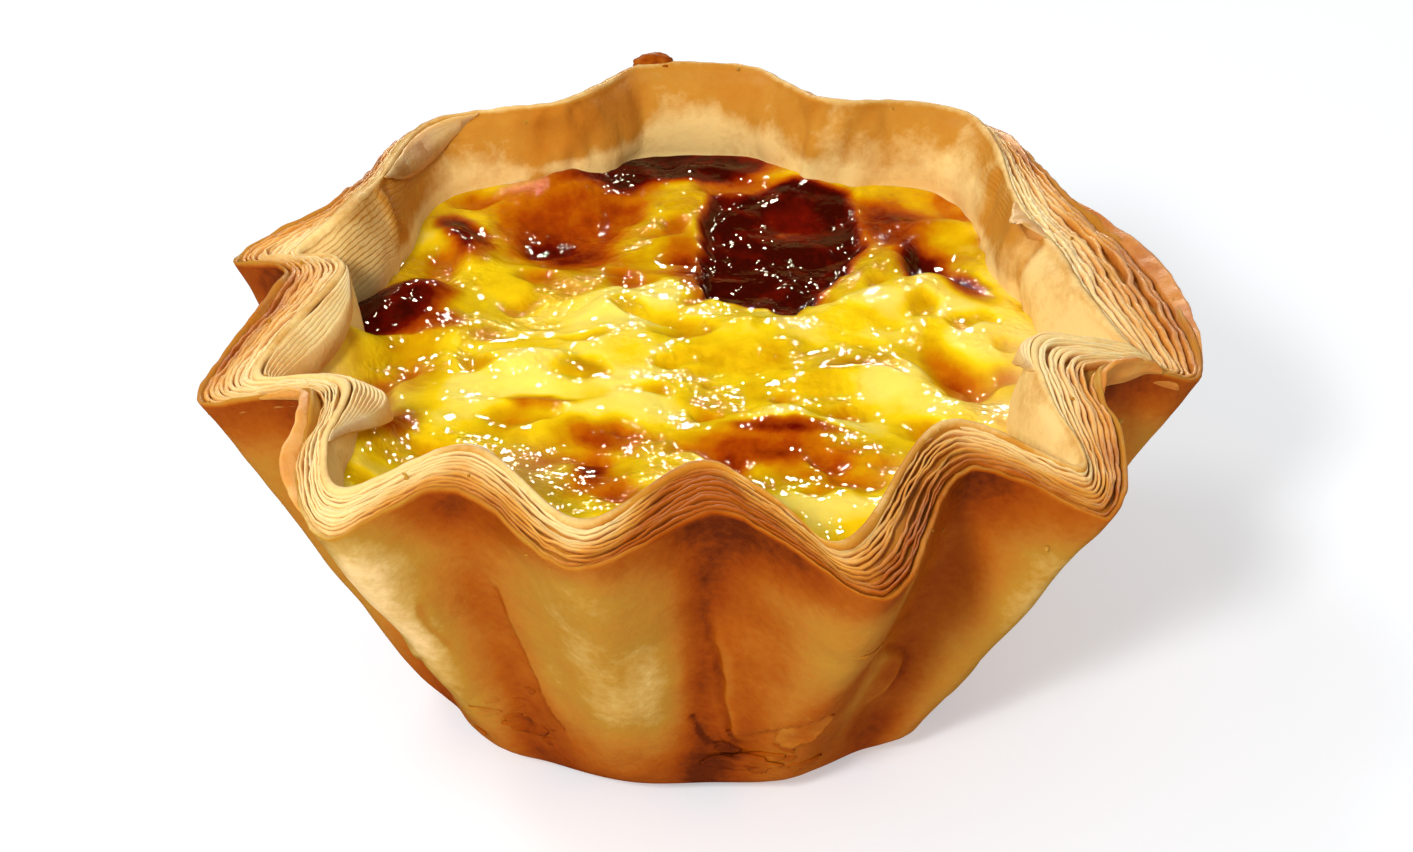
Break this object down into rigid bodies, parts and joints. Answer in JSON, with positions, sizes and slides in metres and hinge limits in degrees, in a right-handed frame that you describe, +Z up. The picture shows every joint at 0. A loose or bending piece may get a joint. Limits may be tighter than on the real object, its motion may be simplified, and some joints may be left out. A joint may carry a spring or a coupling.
{
  "type": "croissant tart",
  "caption": "Small round baked tart: a fluted cup of layered croissant pastry with wavy cut edges, filled with glossy egg custard that is scorched in patches.",
  "frame": {"origin": "middle of the flat sole that the tart stands on", "axes": "+Z up out of the filling; the widest flute points to +X, and the deepest front flute to -Y"},
  "size_m": [0.0807, 0.0859, 0.0367],
  "materials": {
    "pastry": "matt baked laminated pastry",
    "custard": "glossy baked custard"
  },
  "bodies": {
    "root": {"crust": "pastry", "custard": "custard"}
  },
  "joints": []
}
